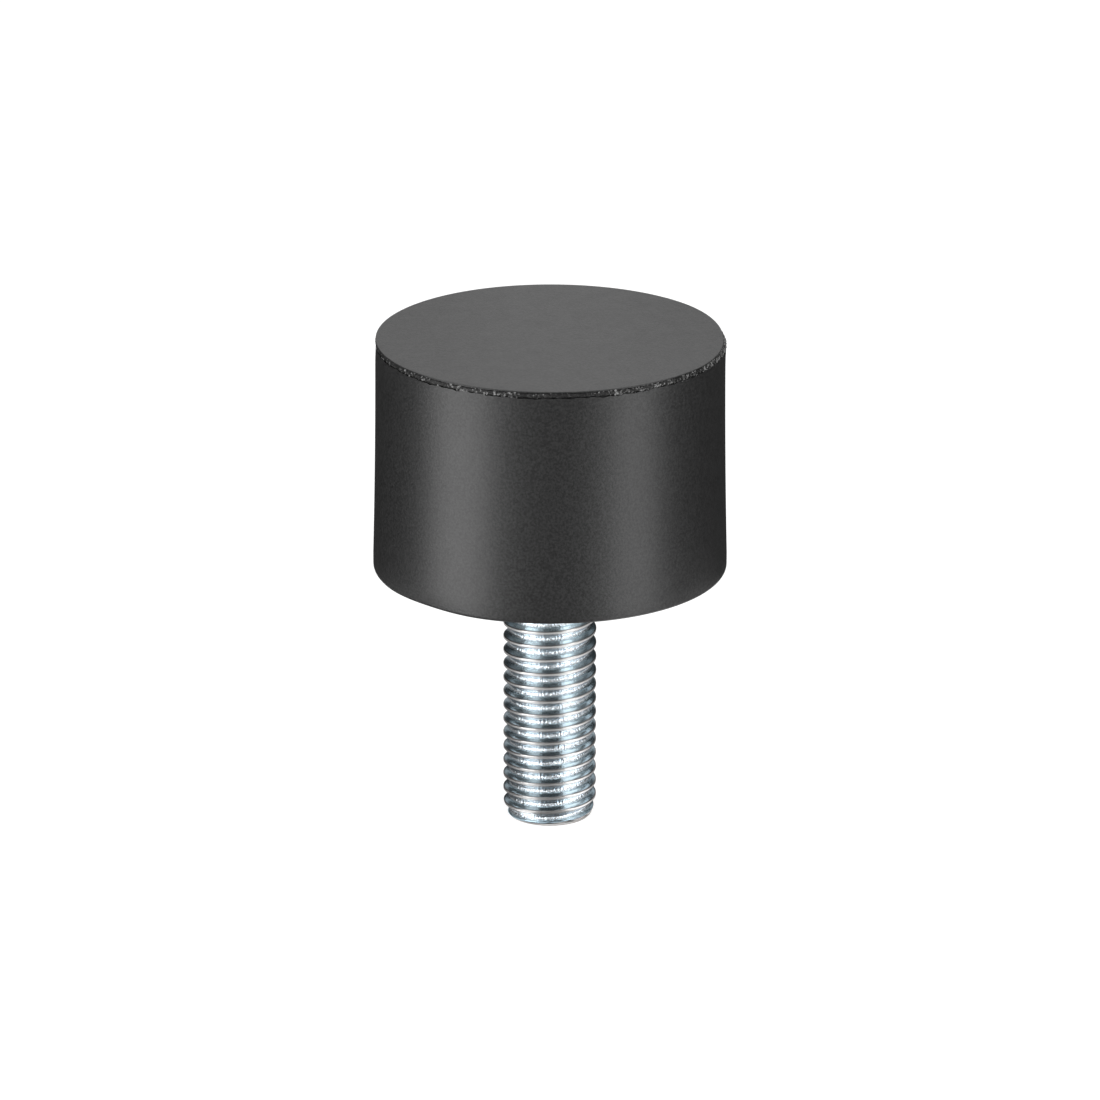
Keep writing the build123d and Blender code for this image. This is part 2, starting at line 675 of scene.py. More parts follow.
@dataclass
class RubberBody:
    """The moulded cylinder with its trimmed lip and rounded foot.

    A band wave is the height, the count round the rim and the starting angle of one waver of the
    lip's lower line.
    """

    face_rings_mm: tuple[float, ...] = (0.0, 4.0, 8.0, 11.0, 13.0, 14.0, 14.5)
    wall_draw_in: float = 0.26 * MM
    wall_steps: int = 36
    foot_rise: float = 1.3 * MM
    foot_edge_radius: float = 0.35 * MM
    foot_steps: int = 8
    lip_height: float = 0.6 * MM
    lip_overhang: float = 0.03 * MM
    lip_bevel: float = 0.05 * MM
    lip_edge: float = 0.09 * MM
    lip_groove: float = 0.20 * MM
    rim_shift: float = 0.07 * MM
    shift_depth: float = 3.0 * MM
    rim_cut: float = 0.28 * MM
    rim_cut_azimuth: float = 92.0
    rim_cut_width: float = 39.0
    foot_cut: float = 0.20 * MM
    foot_cut_azimuth: float = -44.0
    foot_cut_width: float = 22.0
    foot_cut_height: float = 1.6 * MM
    band_waves: tuple[tuple[float, float, float], ...] = (
        (0.025 * MM, 11.0, 0.4),
        (0.030 * MM, 29.0, 1.9),
        (0.030 * MM, 67.0, 4.1),
        (0.020 * MM, 131.0, 2.6),
    )
    plate_edge_radius: float = 0.4 * MM
    head_edge_radius: float = 0.3 * MM
    corner_steps: int = 4
    segments: int = 512
    sharp_angle: float = 40.0
    finish: RubberFinish = field(default_factory=RubberFinish)

    def foot_radius(self) -> float:
        """Returns the widest radius, which stays inside the modelled body's box."""
        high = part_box("rubber_body")[1]
        return min(high.x, high.y)

    def lip_foot(self) -> Point:
        """Returns the radius and height where the wall meets the lip."""
        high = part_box("rubber_body")[1]
        return high.x - self.wall_draw_in, high.z - self.lip_height

    def wall_points(self) -> Profile:
        """Gives the hollow curve of the wall.

        Returns:
            The points, from the lip's foot down to the foot's top.
        """
        foot_radius = self.foot_radius()
        wall_radius, wall_top = self.lip_foot()
        drop = wall_top - self.foot_rise
        shares = [k / self.wall_steps for k in range(self.wall_steps + 1)]
        return [(wall_radius + (foot_radius - wall_radius) * s * s, wall_top - drop * s) for s in shares]

    def lip_points(self) -> Profile:
        """Gives the lip's section, with the groove that the torn band fills.

        Returns:
            The points, from the free face's rim down to the wall.
        """
        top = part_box("rubber_body")[1].z
        wall_radius, lip_foot = self.lip_foot()
        rim = wall_radius + self.lip_overhang
        inner = wall_radius - self.lip_groove
        groove_top = top - self.lip_edge
        corner = rounded_corner(rim, top, self.lip_bevel, self.corner_steps, inwards=False)
        return corner + [(rim, groove_top), (inner, groove_top), (inner, lip_foot), (wall_radius, lip_foot)]

    def cavity_points(self) -> Profile:
        """Gives the section of the cavity that holds the plate and the stud's head.

        Returns:
            The points, from the underside in to the axis.
        """
        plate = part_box("base_plate")[1]
        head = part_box("threaded_stud")[1]
        steps = self.corner_steps
        points = [(plate.x, 0.0)]
        points += rounded_corner(plate.x, plate.z, self.plate_edge_radius, steps, inwards=True)
        points += [(head.x, plate.z)]
        points += rounded_corner(head.x, head.z, self.head_edge_radius, steps, inwards=True)
        return points + [(0.0, head.z)]

    def profile(self) -> Profile:
        """Gives the body's whole section.

        Returns:
            The points, from the free face round to the cavity.
        """
        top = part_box("rubber_body")[1].z
        edge = self.foot_edge_radius
        face = [(radius * MM, top) for radius in self.face_rings_mm]
        foot = arc_points((self.foot_radius() - edge, edge), edge, 0, -90, self.foot_steps)
        return face + self.lip_points() + self.wall_points()[1:] + foot + self.cavity_points()

    def bend_rim(self, surface: Surface) -> None:
        """Gives the rim and the foot their own faults.

        The free face's rim lies a little to one side and is cut short at the far right. The foot is
        a little flat at the near left, and the lip's lower line wavers.

        Args:
            surface: a surface in the buffer's frame, changed in place.
        """
        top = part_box("rubber_body")[1].z
        wall_radius, lip_foot = self.lip_foot()
        inner = wall_radius - 2 * self.lip_groove
        for vertex in surface.verts:
            lift = held(1.0 + (vertex.co.z - top) / self.shift_depth)
            edge = held(1.0 + (vertex.co.z - top) / self.lip_height)
            low = held(1.0 - vertex.co.z / self.foot_cut_height)
            angle = math.atan2(vertex.co.x, -vertex.co.y)
            azimuth = math.degrees(angle)
            far_right = held(1.0 - abs(azimuth - self.rim_cut_azimuth) / self.rim_cut_width)
            near_left = held(1.0 - abs(azimuth - self.foot_cut_azimuth) / self.foot_cut_width)
            reach = vertex.co.xy.length
            if reach > inner:
                if abs(vertex.co.z - lip_foot) < HAIR:
                    waves = [size * math.sin(count * angle + start) for size, count, start in self.band_waves]
                    vertex.co.z += sum(waves)
                cut = self.rim_cut * far_right * edge + self.foot_cut * near_left * low
                vertex.co.xy *= 1.0 - cut / reach
            if reach > 0.0:
                vertex.co.x += self.rim_shift * lift * lift * min(reach / inner, 1.0)

    def build(self) -> bpy.types.Object:
        """Builds and dresses the body.

        Returns:
            The finished piece.
        """
        surface = lathe(self.profile(), self.segments)
        self.bend_rim(surface)
        piece = finished_object(surface, "rubber_cylinder", self.sharp_angle)
        piece.data.materials.append(self.finish.build())
        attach(piece, "root")
        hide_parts("rubber_body")
        return piece


@dataclass
class TrimmedFlash:
    """The ragged ring round the free face, where the mould's flash was torn and trimmed off.

    A chip zone is the azimuth, the half width in degrees and the share of the crumbs of one stretch
    of the ring.
    """

    body: RubberBody
    band_height: float = 0.50 * MM
    band_lift: float = 0.02 * MM
    recess: float = 0.14 * MM
    proud: float = 0.17 * MM
    most_proud: float = 0.03 * MM
    below_face: float = 0.04 * MM
    raggedness: float = 0.17 * MM
    bulge_power: float = 0.6
    tear_cells_per_mm: tuple[float, ...] = (1.3, 5.0)
    tear_detail: float = 3.0
    columns: int = 1500
    rows: int = 12
    chip_count: float = 900.0
    chip_size: float = 0.15 * MM
    chip_least: tuple[float, float, float] = (0.35, 0.3, 0.15)
    chip_most: tuple[float, float, float] = (1.3, 0.9, 0.5)
    # The zones crowd the pale crumbs into the stretches of the rim where glints show, which adds painted
    # glint there.
    chip_zones: tuple[tuple[float, float, float], ...] = (
        (-22.0, 17.0, 0.8),
        (36.0, 27.0, 1.0),
        (76.0, 26.0, 1.7),
    )
    zone_core: float = 0.5
    chips_elsewhere: float = 0.16
    seed: int = 7
    finish: TornRubberFinish = field(default_factory=TornRubberFinish)
    crumbs: TornRubberFinish = field(default_factory=crumb_glint_finish)

    def sizes(self) -> dict[str, float]:
        """Works out the tree's sizes.

        Returns:
            The float inputs' values by name.
        """
        wall_radius, lip_foot = self.body.lip_foot()
        low = lip_foot + self.band_lift
        return {
            "Ring Radius": wall_radius - self.recess,
            "Low": low,
            "High": low + self.band_height,
            "Proud": self.proud,
            "Raggedness": self.raggedness,
            "Columns": float(self.columns),
            "Rows": float(self.rows),
            "Chips": self.chip_count / (FULL_TURN * wall_radius * self.band_height),
            "Chip Size": self.chip_size,
        }

    def tree(self, sizes: dict[str, float]) -> GroupWriter:
        """Builds the geometry tree of the ragged band and its crumbs.

        Args:
            sizes: the float inputs' values by name.

        Returns:
            The tree's writer.
        """
        others = {"Seed": WHOLE, "Finish": MATERIAL, "Crumb Finish": MATERIAL}
        takes = dict.fromkeys(sizes, FLOAT) | others
        group = GroupWriter("Trimmed Flash", "GeometryNodeTree", takes, {"Geometry": GEOMETRY})
        band = self.band(group)
        crumb_material = {"Material": group.inputs["Crumb Finish"]}
        paler = group.add("GeometryNodeSetMaterial", {"Geometry": self.chips(group, band)} | crumb_material)
        joined = group.add("GeometryNodeJoinGeometry", {0: band})
        group.feed(joined.inputs[0], paler.outputs[0])
        real = group.add("GeometryNodeRealizeInstances", {0: joined.outputs[0]})
        is_crumb = group.add("GeometryNodeMaterialSelection", crumb_material)
        is_band = group.add("FunctionNodeBooleanMath", {0: is_crumb.outputs[0]}, operation="NOT")
        looks = {
            "Geometry": real.outputs[0],
            "Selection": is_band.outputs[0],
            "Material": group.inputs["Finish"],
        }
        group.feed(group.outputs[0], group.add("GeometryNodeSetMaterial", looks).outputs[0])
        return group

    def band(self, group: GroupWriter) -> Socket:
        """Adds the nodes that wrap a grid round the axis and roughen it.

        Args:
            group: the tree's writer.

        Returns:
            The band's geometry socket.
        """
        ring, low, high = (group.inputs[name] for name in ("Ring Radius", "Low", "High"))
        mesh, x, y = group.unit_grid()
        angle = group.math("MULTIPLY", x, FULL_TURN)
        share = group.math("ADD", y, 0.5)
        height = group.math("MULTIPLY_ADD", share, group.math("SUBTRACT", high, low), low)
        crown = group.math("SINE", group.math("MULTIPLY", share, math.pi))
        bulge = group.math("POWER", crown, self.bulge_power)
        centred = group.polar(angle, ring, height)
        tears = [self.tear(group, centred, cells) for cells in self.tear_cells_per_mm]
        ragged = group.math("MULTIPLY", group.math("ADD", *tears), group.inputs["Raggedness"])
        reach = group.math("MULTIPLY", group.math("ADD", group.inputs["Proud"], ragged), bulge)
        wrapped = group.moved(mesh, group.polar(angle, group.math("ADD", ring, reach), height))
        return group.add("GeometryNodeMergeByDistance", {"Geometry": wrapped, "Distance": HAIR}).outputs[0]

    def tear(self, group: GroupWriter, place: Socket, cells_per_mm: float) -> Socket:
        """Returns a seeded noise from about -0.5 to 0.5."""
        noise = group.seeded_noise(place, group.inputs["Seed"], cells_per_mm, self.tear_detail)
        return group.math("SUBTRACT", noise, 0.5)

    def chips(self, group: GroupWriter, band: Socket) -> Socket:
        """Adds the nodes that scatter small torn crumbs on the band.

        Args:
            group: the tree's writer.
            band: the band's geometry socket.

        Returns:
            The crumbs' geometry socket.
        """
        seed = group.inputs["Seed"]
        x, y, _ = group.split(group.point_place())
        azimuth = group.math("DEGREES", group.math("ARCTAN2", x, group.math("MULTIPLY", y, -1.0)))
        share = self.chips_elsewhere
        for centre, width, most in self.chip_zones:
            away = group.math("ABSOLUTE", group.math("SUBTRACT", azimuth, centre))
            inside = group.smooth_step(away, width, self.zone_core * width)
            share = group.math("MAXIMUM", share, group.math("MULTIPLY", inside, most))
        density = group.math("MULTIPLY", group.inputs["Chips"], share)
        scatter = {"Mesh": band, "Density": density, "Seed": seed}
        points = group.add("GeometryNodeDistributePointsOnFaces", scatter)
        round_chip = {"Radius": group.inputs["Chip Size"], "Subdivisions": 1}
        crumb = group.add("GeometryNodeMeshIcoSphere", round_chip)
        turns = {1: (FULL_TURN, FULL_TURN, FULL_TURN), "Seed": seed}
        turn = group.add("FunctionNodeRandomValue", turns, data_type="FLOAT_VECTOR")
        spread = {0: self.chip_least, 1: self.chip_most, "Seed": group.math("ADD", seed, 1.0)}
        size = group.add("FunctionNodeRandomValue", spread, data_type="FLOAT_VECTOR")
        placed = {
            "Points": points.outputs["Points"],
            "Instance": crumb.outputs["Mesh"],
            "Rotation": turn.outputs[0],
            "Scale": size.outputs[0],
        }
        return group.add("GeometryNodeInstanceOnPoints", placed).outputs[0]

    def hold_in(self, surface: Surface) -> None:
        """Keeps the ring below the free face and close to the wall.

        Args:
            surface: the ring's surface, changed in place.
        """
        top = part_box("rubber_body")[1].z
        limit = self.body.lip_foot()[0] + self.body.lip_overhang + self.most_proud
        for vertex in surface.verts:
            vertex.co.z = min(vertex.co.z, top - self.below_face)
            reach = vertex.co.xy.length
            if reach > limit:
                vertex.co.x *= limit / reach
                vertex.co.y *= limit / reach

    def build(self) -> bpy.types.Object:
        """Builds and dresses the ring.

        Returns:
            The finished piece.
        """
        sizes = self.sizes()
        finishes = {"Finish": self.finish.build(), "Crumb Finish": self.crumbs.build()}
        surface, materials = self.tree(sizes).evaluated(sizes | {"Seed": self.seed} | finishes)
        self.hold_in(surface)
        self.body.bend_rim(surface)
        piece = mesh_object(surface, "trimmed_lip")
        for material in materials:
            piece.data.materials.append(material)
        while piece.data.materials[0] is None:
            piece.data.materials.pop(index=0)
        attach(piece, "root")
        return piece


@dataclass
class ThreadedStud:
    """The stud: a low head, a shank, a neck and a rolled right-hand thread with a tapered tip."""

    pitch: float = 1.25 * MM
    crest_radius: float = 3.96 * MM
    root_radius: float = 3.363 * MM
    crest_half_width: float = 0.1185 * MM
    flank_angle: float = 60.0
    crest_round: float = 0.12 * MM
    root_round: float = 0.28 * MM
    neck_radius: float = 3.203 * MM
    neck_length: float = 1.488 * MM
    shank_radius: float = 4.0 * MM
    shank_recess: float = 0.2 * MM
    head_edge_radius: float = 0.3 * MM
    corner_steps: int = 4
    tip_taper: float = 1.2 * MM
    tip_drop: float = 0.40 * MM
    tip_edge: float = 0.06 * MM
    cap_turns: float = 0.7
    cap_slope: float = 5.0
    crest_height_at_x: float = -1.9495 * MM
    roll_marks: float = 0.012 * MM
    marks_per_mm: float = 1.6
    marks_detail: float = 2.0
    marks_level: float = 0.55
    marks_fade: float = 0.1 * MM
    rows_per_turn: int = 40
    columns: int = 128
    sharp_angle: float = 50.0
    seed: int = 5
    finish: ThreadZincFinish = field(default_factory=ThreadZincFinish)

    def sizes(self) -> dict[str, float]:
        """Works out the tree's sizes. The tip's flat end is closed by some more turns of the grid.

        Returns:
            The float inputs' values by name.
        """
        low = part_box("threaded_stud")[0].z
        start = -self.neck_length + self.pitch / self.rows_per_turn
        span = start - low + self.pitch * (1 + self.cap_turns)
        rows = round(span / self.pitch * self.rows_per_turn)
        return {
            "Pitch": self.pitch,
            "Crest Radius": self.crest_radius,
            "Root Radius": self.root_radius,
            "Crest Half Width": self.crest_half_width,
            "Flank Slope": 1 / math.tan(math.radians(self.flank_angle / 2)),
            "Crest Round": self.crest_round,
            "Root Round": self.root_round,
            "Neck Radius": self.neck_radius,
            "Top": -self.neck_length,
            "Tip": low,
            "Taper": self.tip_taper,
            "Drop": self.tip_drop,
            "Tip Edge": self.tip_edge,
            "Crest Height": self.crest_height_at_x,
            "Start Height": start,
            "Span": rows * self.pitch / self.rows_per_turn,
            "Roll Marks": self.roll_marks,
            "Rows": float(rows + 1),
            "Columns": float(self.columns + 1),
        }

    def tree(self, sizes: dict[str, float]) -> GroupWriter:
        """Builds the geometry tree of the helical surface.

        Args:
            sizes: the float inputs' values by name.

        Returns:
            The tree's writer.
        """
        takes = dict.fromkeys(sizes, FLOAT) | {"Seed": WHOLE, "Finish": MATERIAL}
        group = GroupWriter("Rolled Thread", "GeometryNodeTree", takes, {"Geometry": GEOMETRY})
        inputs = group.inputs
        mesh, x, y = group.unit_grid()
        turns = group.math("ADD", x, 0.5)
        down = group.math("MULTIPLY", group.math("SUBTRACT", 0.5, y), inputs["Span"])
        lead = group.math("MULTIPLY", turns, inputs["Pitch"])
        free = group.math("ADD", group.math("SUBTRACT", inputs["Start Height"], down), lead)
        height = group.math("MAXIMUM", group.math("MINIMUM", free, inputs["Top"]), inputs["Tip"])
        from_crest = group.math("SUBTRACT", group.math("SUBTRACT", height, inputs["Crest Height"]), lead)
        phase = group.math("DIVIDE", from_crest, inputs["Pitch"])
        angle = group.math("MULTIPLY", turns, FULL_TURN)
        marked = group.math("ADD", self.section(group, phase, height, free), self.marks(group, angle, height))
        radius = group.math("MAXIMUM", marked, 0.0)
        rolled = group.moved(mesh, group.polar(angle, radius, height))
        real = group.add("GeometryNodeRealizeInstances", {0: rolled})
        looks = {"Geometry": real.outputs[0], "Material": inputs["Finish"]}
        group.feed(group.outputs[0], group.add("GeometryNodeSetMaterial", looks).outputs[0])
        return group

    def section(self, group: GroupWriter, phase: Socket, height: Socket, free: Socket) -> Socket:
        """Adds the nodes that give the thread's radius at a point.

        Args:
            group: the tree's writer.
            phase: how many turns the point lies from the crest line.
            height: the point's height, held between the neck and the tip.
            free: the same height before it is held.

        Returns:
            The radius socket.
        """
        inputs = group.inputs
        crest = inputs["Crest Radius"]
        from_nearest = group.math("SUBTRACT", phase, group.math("ROUND", phase))
        away = group.math("MULTIPLY", group.math("ABSOLUTE", from_nearest), inputs["Pitch"])
        past_crest = group.math("SUBTRACT", away, inputs["Crest Half Width"])
        flank = group.math("SUBTRACT", crest, group.math("MULTIPLY", past_crest, inputs["Flank Slope"]))
        topped = group.math("SMOOTH_MIN", flank, crest, inputs["Crest Round"])
        thread = self.rounded_root(group, away, topped)
        tapered = self.tapered_tip(group, thread, height)
        past_tip = group.math("MAXIMUM", group.math("SUBTRACT", inputs["Tip"], free), 0.0)
        closed = group.math("SUBTRACT", tapered, group.math("MULTIPLY", past_tip, self.cap_slope))
        in_neck = group.math("GREATER_THAN", free, inputs["Top"])
        to_neck = group.math("SUBTRACT", inputs["Neck Radius"], closed)
        return group.math("MULTIPLY_ADD", in_neck, to_neck, closed)

    def rounded_root(self, group: GroupWriter, away: Socket, flank: Socket) -> Socket:
        """Adds the round bottom of the groove, an arc that touches both flanks.

        Args:
            group: the tree's writer.
            away: how far the point lies from the crest line, along the axis.
            flank: the radius on the crest or the flank.

        Returns:
            The radius with the groove's bottom rounded.
        """
        bottom = group.inputs["Root Round"]
        across = group.math("SUBTRACT", group.math("DIVIDE", group.inputs["Pitch"], 2.0), away)
        touch = group.math("MULTIPLY", bottom, math.cos(math.radians(self.flank_angle / 2)))
        squares = [group.math("POWER", value, 2.0) for value in (bottom, across)]
        depth = group.math("SQRT", group.math("MAXIMUM", group.math("SUBTRACT", *squares), 0.0))
        arc = group.math("SUBTRACT", group.math("ADD", group.inputs["Root Radius"], bottom), depth)
        inside = group.math("LESS_THAN", across, touch)
        return group.math("MULTIPLY_ADD", inside, group.math("SUBTRACT", arc, flank), flank)

    def tapered_tip(self, group: GroupWriter, thread: Socket, height: Socket) -> Socket:
        """Adds the tip's taper and its small broken edge.

        Args:
            group: the tree's writer.
            thread: the radius of the plain thread.
            height: the point's height.

        Returns:
            The radius with the tip tapered.
        """
        crest, tip, taper, drop = (group.inputs[name] for name in ("Crest Radius", "Tip", "Taper", "Drop"))
        lower = group.math("DIVIDE", group.math("SUBTRACT", group.math("ADD", tip, taper), height), taper)
        cone = group.math("SUBTRACT", crest, group.math("MULTIPLY", lower, drop))
        end_radius = group.math("SUBTRACT", group.math("SUBTRACT", crest, drop), group.inputs["Tip Edge"])
        broken_edge = group.math("ADD", end_radius, group.math("SUBTRACT", height, tip))
        coned = group.math("SMOOTH_MIN", thread, cone, group.inputs["Crest Round"])
        return group.math("MINIMUM", coned, broken_edge)

    def marks(self, group: GroupWriter, angle: Socket, height: Socket) -> Socket:
        """Adds the small seeded unevenness that rolling and plating leave.

        Args:
            group: the tree's writer.
            angle: the point's angle round the axis.
            height: the point's height.

        Returns:
            The change of radius, 0 at the neck and the tip.
        """
        inputs = group.inputs
        place = group.polar(angle, inputs["Crest Radius"], height)
        noise = group.seeded_noise(place, inputs["Seed"], self.marks_per_mm, self.marks_detail)
        inward = group.math("MINIMUM", group.math("SUBTRACT", noise, self.marks_level), 0.0)
        gaps = (group.math("SUBTRACT", inputs["Top"], height), group.math("SUBTRACT", height, inputs["Tip"]))
        ends = group.math("MULTIPLY", *(group.smooth_step(gap, 0.0, self.marks_fade) for gap in gaps))
        return group.math("MULTIPLY", group.math("MULTIPLY", inward, inputs["Roll Marks"]), ends)

    def turned_part(self) -> bpy.types.Mesh:
        """Turns the head, the shank and the neck, down to where the thread begins.

        Returns:
            The turned mesh.
        """
        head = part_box("threaded_stud")[1]
        plate_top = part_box("base_plate")[1].z
        profile = [(0.0, head.z)]
        profile += rounded_corner(head.x, head.z, self.head_edge_radius, self.corner_steps, inwards=False)
        profile += [
            (head.x, plate_top),
            (self.shank_radius, plate_top),
            (self.shank_radius, self.shank_recess),
            (self.neck_radius, self.shank_recess),
            (self.neck_radius, -self.neck_length),
        ]
        turned = lathe(profile, self.columns)
        mesh = bpy.data.meshes.new("turned")
        turned.to_mesh(mesh)
        turned.free()
        return mesh

    def build(self) -> bpy.types.Object:
        """Builds and dresses the whole stud.

        Returns:
            The finished piece.
        """
        material = self.finish.build()
        sizes = self.sizes()
        surface = self.tree(sizes).evaluated(sizes | {"Seed": self.seed, "Finish": material})[0]
        turned = self.turned_part()
        surface.from_mesh(turned)
        bpy.data.meshes.remove(turned)
        piece = finished_object(surface, "plated_stud", self.sharp_angle)
        piece.data.materials.clear()
        piece.data.materials.append(material)
        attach(piece, "root")
        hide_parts("threaded_stud")
        return piece


@dataclass
class BasePlate:
    """The steel plate in the underside, kept as modelled and given its finish."""

    finish: ZincFinish = field(default_factory=ZincFinish)

    def build(self) -> bpy.types.Object:
        """Dresses the plate.

        Returns:
            The plate.
        """
        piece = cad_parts["base_plate"]
        piece.data.materials.clear()
        piece.data.materials.append(self.finish.build())
        return piece


# The studio


def direction(azimuth: float, elevation: float) -> Vector:
    """Returns the direction away from the buffer, with azimuth 0 in front (-Y) and 90 right (+X)."""
    a, e = math.radians(azimuth), math.radians(elevation)
    return Vector((math.sin(a) * math.cos(e), -math.cos(a) * math.cos(e), math.sin(e)))


def floor_height() -> float:
    """Returns the height of the stud's tip, where the floor lies."""
    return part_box("threaded_stud")[0].z


@dataclass(frozen=True)
class Softbox:
    """One lamp, placed by direction as seen from the buffer. Reflections don't see it."""

    name: str
    azimuth: float
    elevation: float
    distance: float
    width: float
    height: float
    radiance: float

    def build(self) -> None:
        """Adds the lamp, facing the origin."""
        light = bpy.data.lights.new(self.name, "AREA")
        light.shape = "RECTANGLE"
        light.size = self.width
        light.size_y = self.height
        light.energy = self.radiance * math.pi * self.width * self.height
        lamp = put_in_scene(self.name, light)
        away = direction(self.azimuth, self.elevation)
        lamp.location = away * self.distance
        lamp.rotation_euler = away.to_track_quat("Z", "Y").to_euler()
        lamp.visible_camera = False
        lamp.visible_glossy = False


@dataclass(frozen=True)
class Card:
    """A curved card round the buffer that only reflections see, dark or glowing.

    Its section's points are distances from the axis and heights above the floor. A glow of 1 is
    white.
    """

    name: str
    azimuth_from: float
    azimuth_to: float
    section: tuple[Point, ...]
    glow: float
    steps: int = 12

    def surface(self) -> Surface:
        """Turns the section round the axis between the two azimuths.

        Returns:
            The card's surface.
        """
        floor = floor_height()
        surface = bmesh.new()
        columns = []
        for k in range(self.steps + 1):
            azimuth = self.azimuth_from + (self.azimuth_to - self.azimuth_from) * k / self.steps
            away = direction(azimuth, 0.0)
            columns.append([surface.verts.new((away.x * r, away.y * r, floor + z)) for r, z in self.section])
        for first, second in zip(columns, columns[1:]):
            for row in range(len(self.section) - 1):
                surface.faces.new((first[row], second[row], second[row + 1], first[row + 1]))
        return surface

    def build(self) -> None:
        """Adds the card to the stage."""
        card = mesh_object(self.surface(), self.name)
        material, writer, shader = matt_material(self.name, 0.0)
        writer.set_inputs(shader, {"Emission Strength": self.glow})
        card.data.materials.append(material)
        card.visible_camera = False
        card.visible_diffuse = False
        card.visible_shadow = False
        card.visible_transmission = False


@dataclass
class Studio:
    """The pale floor, the lamps, the cards for reflections and the white surroundings.

    The cards' radii and heights are in metres. The near cards and the tip cards lie on the floor
    round the stud, one between each two of the near edges, with the glows in the same order.
    """

    floor_size: float = 6.0
    floor_colour: float = 0.45
    floor_glow: float = 0.73
    ambient: float = 0.55
    softboxes: tuple[Softbox, ...] = (
        Softbox("left_softbox", -73.0, 28.0, distance=0.45, width=0.92, height=0.26, radiance=1.6),
        Softbox("right_softbox", 73.0, 28.0, distance=0.45, width=0.92, height=0.26, radiance=1.6),
        Softbox("front_softbox", 0.0, 28.0, distance=0.80, width=0.80, height=0.46, radiance=1.3),
    )
    lift: float = 0.0002
    under: float = 0.0005
    near: float = 0.0038
    tip_ring: float = 0.0054
    fence: float = 0.028
    middle: float = 0.032
    upright: float = 0.060
    far: float = 0.300
    fence_foot: float = 0.0064
    fence_top: float = 0.0170
    low_fence_top: float = 0.0138
    shade_foot: float = 0.017
    shade_top: float = 0.060
    side_top: float = 0.044
    strip_top: float = 0.052
    behind_top: float = 0.050
    beside_top: float = 0.074
    near_edges: tuple[float, ...] = (-180, -110, -80, -57, -26, 34, 74, 92, 116, 180)
    near_glows: tuple[float, ...] = (0.08, 0.12, 0.20, 1.00, 0.05, 2.20, 1.60, 0.26, 0.12)
    tip_glows: tuple[float, ...] = (0.08, 0.12, 0.35, 1.90, 0.12, 0.60, 0.34, 0.20, 0.12)

    def lying(self, inner: float, outer: float) -> tuple[Point, ...]:
        """Returns the section of a card that lies on the floor."""
        return (inner, self.lift), (outer, self.lift)

    def standing(self, radius: float, foot: float, top: float) -> tuple[Point, ...]:
        """Returns the section of a card that stands at a radius."""
        return (radius, foot), (radius, top)

    def bent(self, top: float) -> tuple[Point, ...]:
        """Returns the section of a card that runs out along the floor and then stands up."""
        return (*self.lying(self.middle, self.upright), (self.upright, top))

    def floor_cards(self) -> list[Card]:
        """Gives the cards that lie on the floor.

        Returns:
            The cards.
        """
        cards = []
        rings = (
            ("near_card", self.lying(self.tip_ring, self.middle), self.near_glows),
            ("tip_card", self.lying(self.near, self.tip_ring), self.tip_glows),
        )
        for name, section, glows in rings:
            arcs = enumerate(zip(self.near_edges, self.near_edges[1:], glows))
            cards += [Card(f"{name}_{k}", start, end, section, glow) for k, (start, end, glow) in arcs]
        cards.append(Card("front_card", -36.0, 33.0, self.lying(self.middle, self.far), glow=0.38))
        cards.append(Card("under_card", -180.0, 180.0, self.lying(self.under, self.near), glow=0.2))
        return cards

    def upright_cards(self) -> list[Card]:
        """Gives the standing cards: the dark studio and its two strip reflectors.

        Returns:
            The cards.
        """
        strip = self.bent(self.strip_top)
        side = self.bent(self.side_top)
        beside = self.standing(self.upright, self.side_top, self.beside_top)
        behind = self.standing(self.upright, self.side_top, self.behind_top)
        shade = self.standing(self.upright, self.shade_foot, self.shade_top)
        fence = self.standing(self.fence, self.fence_foot, self.fence_top)
        low_fence = self.standing(self.fence, self.fence_foot, self.low_fence_top)
        return [
            Card("front_shade", -16.0, 36.0, shade, glow=0.25),
            Card("front_screen", -60.0, 60.0, low_fence, glow=0.5),
            Card("left_screen", -100.0, -66.0, fence, glow=0.45),
            Card("left_back_screen", -180.0, -100.0, low_fence, glow=0.42),
            Card("right_screen", 60.0, 100.0, fence, glow=0.9),
            Card("right_back_screen", 100.0, 180.0, low_fence, glow=0.5),
            Card("left_strip", -72.0, -36.0, strip, glow=4.75),
            Card("right_strip", 33.0, 63.0, strip, glow=3.75),
            Card("left_card", -180.0, -72.0, side, glow=0.035),
            Card("right_card", 63.0, 180.0, side, glow=0.04),
            Card("left_high_card", -118.0, -72.0, beside, glow=0.42),
            Card("right_high_card", 63.0, 118.0, beside, glow=0.52),
            Card("left_back_card", -172.0, -118.0, behind, glow=0.06),
            Card("right_back_card", 118.0, 172.0, behind, glow=0.06),
        ]

    def seen_directly(self, writer: TreeWriter) -> Socket:
        """Adds the test for rays that show the background: camera, glossy and transmission.

        Args:
            writer: the material's or world's writer.

        Returns:
            A socket that is 1 for those rays.
        """
        path = writer.add("ShaderNodeLightPath")
        rays = [path.outputs[f"Is {kind} Ray"] for kind in ("Camera", "Glossy", "Transmission")]
        return writer.math("MINIMUM", writer.math("ADD", writer.math("ADD", rays[0], rays[1]), rays[2]), 1.0)

    def build_world(self) -> None:
        """Makes the surroundings white to the eye and dimmer as a light."""
        world = bpy.data.worlds.new("Studio")
        world.use_nodes = True
        world.node_tree.nodes.clear()
        writer = TreeWriter(world.node_tree)
        strength = writer.math("MULTIPLY_ADD", self.seen_directly(writer), 1.0 - self.ambient, self.ambient)
        background = writer.add("ShaderNodeBackground", {"Color": WHITE, "Strength": strength})
        writer.add("ShaderNodeOutputWorld", {"Surface": background.outputs[0]})
        bpy.context.scene.world = world

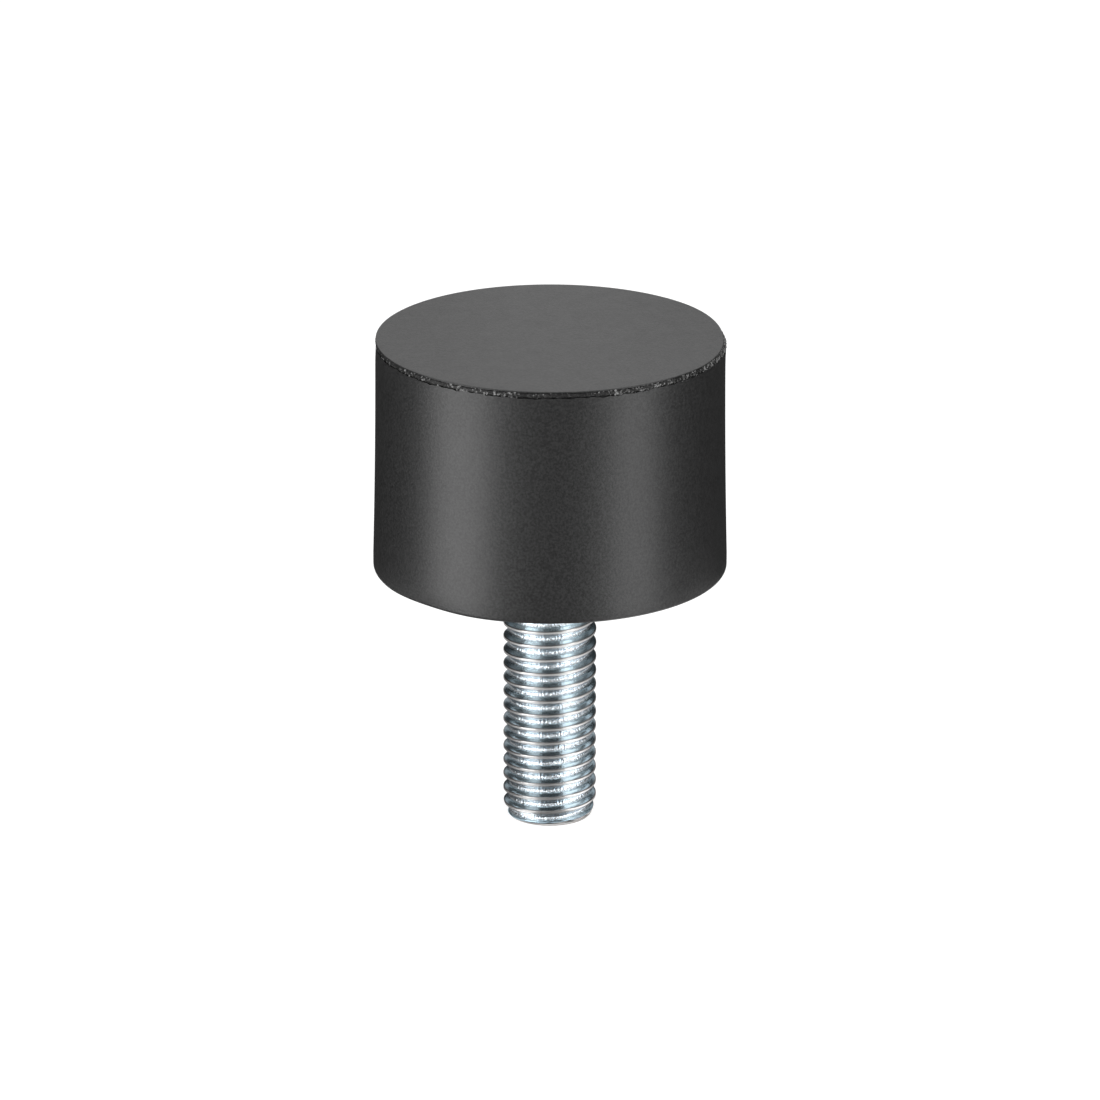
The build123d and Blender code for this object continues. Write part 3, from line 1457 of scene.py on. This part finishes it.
    def build_floor(self) -> None:
        """Lays the pale floor at the stud's tip, which keeps the buffer's shadow."""
        half = self.floor_size / 2
        surface = bmesh.new()
        corners = [(-half, -half), (half, -half), (half, half), (-half, half)]
        surface.faces.new([surface.verts.new((x, y, floor_height())) for x, y in corners])
        floor = mesh_object(surface, "floor")
        material, writer, shader = matt_material("Pale floor", self.floor_colour)
        glow = writer.math("MULTIPLY", self.seen_directly(writer), self.floor_glow)
        writer.set_inputs(shader, {"Emission Strength": glow})
        floor.data.materials.append(material)

    def build(self) -> None:
        """Builds the whole studio."""
        self.build_world()
        self.build_floor()
        for item in (*self.softboxes, *self.floor_cards(), *self.upright_cards()):
            item.build()
        bpy.context.scene.view_settings.view_transform = "Standard"


@dataclass(frozen=True)
class ProductCamera:
    """The camera, at the photograph's viewing angle.

    The origin's place in the photograph is in pixels of the whole image.
    """

    distance: float = 0.700
    elevation: float = 19.5
    roll: float = 0.1
    lens: float = 269.9
    sensor: float = 36.0
    origin_x: float = 550.02
    origin_y: float = 564.83
    clip_start: float = 0.01
    clip_end: float = 20.0

    def build(self) -> None:
        """Adds the camera, turned so that the origin lands on its own pixel."""
        data = bpy.data.cameras.new("camera")
        data.lens = self.lens
        data.sensor_width = self.sensor
        data.clip_start = self.clip_start
        data.clip_end = self.clip_end
        camera = put_in_scene("camera", data)
        away = direction(0.0, self.elevation)
        pixels_per_radian = self.lens / self.sensor * IMAGE_SIZE
        tilt = math.atan((self.origin_y - IMAGE_SIZE / 2) / pixels_per_radian)
        pan = math.atan((self.origin_x - IMAGE_SIZE / 2) / pixels_per_radian)
        upright = Matrix.Rotation(math.radians(90.0 - self.elevation) + tilt, 4, "X")
        turned = Matrix.Rotation(pan, 4, "Z") @ upright
        rolled = turned @ Matrix.Rotation(math.radians(self.roll), 4, "Z")
        camera.matrix_world = Matrix.Translation(away * self.distance) @ rolled
        bpy.context.scene.camera = camera


def main() -> None:
    """Builds the buffer, the studio and the camera, and reports each piece."""
    logging.basicConfig(level=logging.INFO, format="%(message)s")
    body = RubberBody()
    for maker in (body, TrimmedFlash(body), ThreadedStud(), BasePlate()):
        piece = maker.build()
        LOG.info("%s: %d faces", piece.name, len(piece.data.polygons))
    Studio().build()
    ProductCamera().build()


if __name__ == "__main__":
    main()
